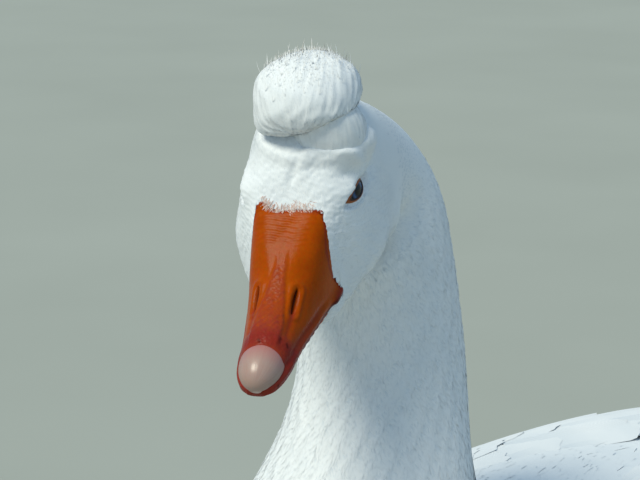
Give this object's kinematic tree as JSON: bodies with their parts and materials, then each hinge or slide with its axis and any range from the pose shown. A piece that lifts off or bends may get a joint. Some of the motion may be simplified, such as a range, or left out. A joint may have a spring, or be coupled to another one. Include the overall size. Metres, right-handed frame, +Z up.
{
  "type": "domestic goose",
  "caption": "White tufted domestic goose standing at rest, neck drawn in, head turned to its left, with a round crest on the crown, an orange bill and webbed feet.",
  "frame": {"origin": "on the floor, below the middle of the bird's bounding box", "axes": "+Z up, -Y the way the body faces, +X the bird's left; the head looks 25.5 degrees left of -Y"},
  "size_m": [0.2328, 0.533, 0.5175],
  "materials": {
    "plumage": "matte white feathers",
    "bill_horn": "satin, slightly waxy",
    "nail_horn": "satin horn",
    "eye": "wet gloss",
    "leg_skin": "matte scaled skin",
    "claw_horn": "satin horn"
  },
  "bodies": {
    "root": {"trunk": "plumage", "neck_lower": "plumage", "neck_upper": "plumage", "head": "plumage", "tuft": "plumage", "tail": "plumage", "wing_left": "plumage", "wing_right": "plumage", "thigh_left": "plumage", "thigh_right": "plumage", "bill_upper": "bill_horn", "bill_lower": "bill_horn", "nail": "nail_horn", "eye_left": "eye", "eye_right": "eye", "shank_left": "leg_skin", "shank_right": "leg_skin", "foot_left": "leg_skin", "foot_right": "leg_skin", "claw_inner_left": "claw_horn", "claw_inner_right": "claw_horn", "claw_middle_left": "claw_horn", "claw_middle_right": "claw_horn", "claw_outer_left": "claw_horn", "claw_outer_right": "claw_horn"}
  },
  "joints": []
}
